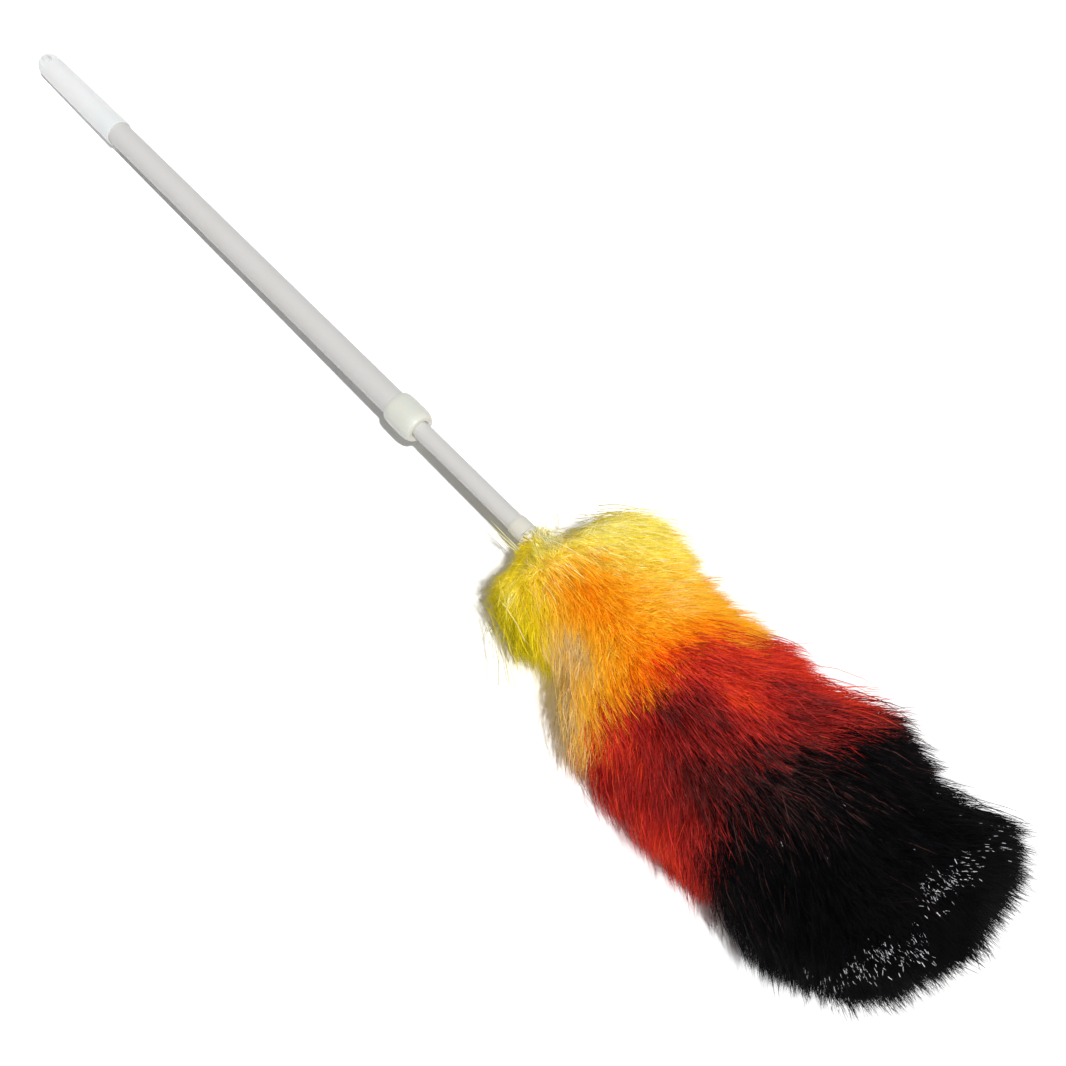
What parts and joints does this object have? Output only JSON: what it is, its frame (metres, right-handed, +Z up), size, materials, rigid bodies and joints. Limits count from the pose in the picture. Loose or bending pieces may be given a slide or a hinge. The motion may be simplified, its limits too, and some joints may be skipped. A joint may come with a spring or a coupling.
{
  "type": "extendable duster",
  "caption": "Telescopic twist-lock pole with a hanging grip and a long soft duster head in bands of yellow, orange, red and black pile.",
  "frame": {"origin": "centre of the bounding box at the level of the table that the duster lies on", "axes": "+X along the pole from the hanging eye to the tip of the head, rising by 2.5 degrees; +Z up"},
  "size_m": [0.9672, 0.1634, 0.1218],
  "materials": {
    "grip": "frosted, translucent",
    "tube": "satin",
    "collar": "satin, slightly translucent",
    "nylon": "matt",
    "ferrule": "satin",
    "rod": "matt",
    "yellow_fibre": "soft pile",
    "orange_fibre": "soft pile",
    "red_fibre": "soft pile",
    "black_fibre": "soft pile"
  },
  "bodies": {
    "pole": {"hand_grip": "grip", "outer_tube": "tube", "collet_sleeve": "nylon"},
    "collar_ring": {"pressure_ring": "nylon"},
    "collar": {"lock_collar": "collar"},
    "bush": {"guide_bush": "nylon"},
    "head": {"end_plug": "nylon", "inner_tube": "tube", "head_ferrule": "ferrule", "core_rod": "rod", "tip_cap": "rod", "yellow_strip": "yellow_fibre", "orange_strip": "orange_fibre", "red_strip": "red_fibre", "black_strip": "black_fibre", "yellow_pile": "yellow_fibre", "orange_pile": "orange_fibre", "red_pile": "red_fibre", "black_pile": "black_fibre", "tip_pile": "black_fibre"}
  },
  "joints": [
    {"name": "collar_travel", "type": "slide", "parent": "pole", "child": "collar_ring", "axis": [0.999, 0, 0.0436], "range_m": [0, 0.00226]},
    {"name": "collar_turn", "type": "hinge", "parent": "collar_ring", "child": "collar", "pos_m": [-0.02169, 0.00188, 0.02915], "axis": [0.999, 0, 0.0436], "range_deg": [0, 270]},
    {"name": "tube_slide", "type": "slide", "parent": "pole", "child": "bush", "axis": [0.999, 0, 0.0436], "range_m": [-0.083, 0.258]},
    {"name": "tube_turn", "type": "hinge", "parent": "bush", "child": "head", "pos_m": [-0.3074, 0.00188, 0.01667], "axis": [0.999, 0, 0.0436], "continuous": true}
  ],
  "couplings": [
    {"joint": "collar_travel", "follows": "collar_turn", "m_per_rad": 0.00047746}
  ]
}
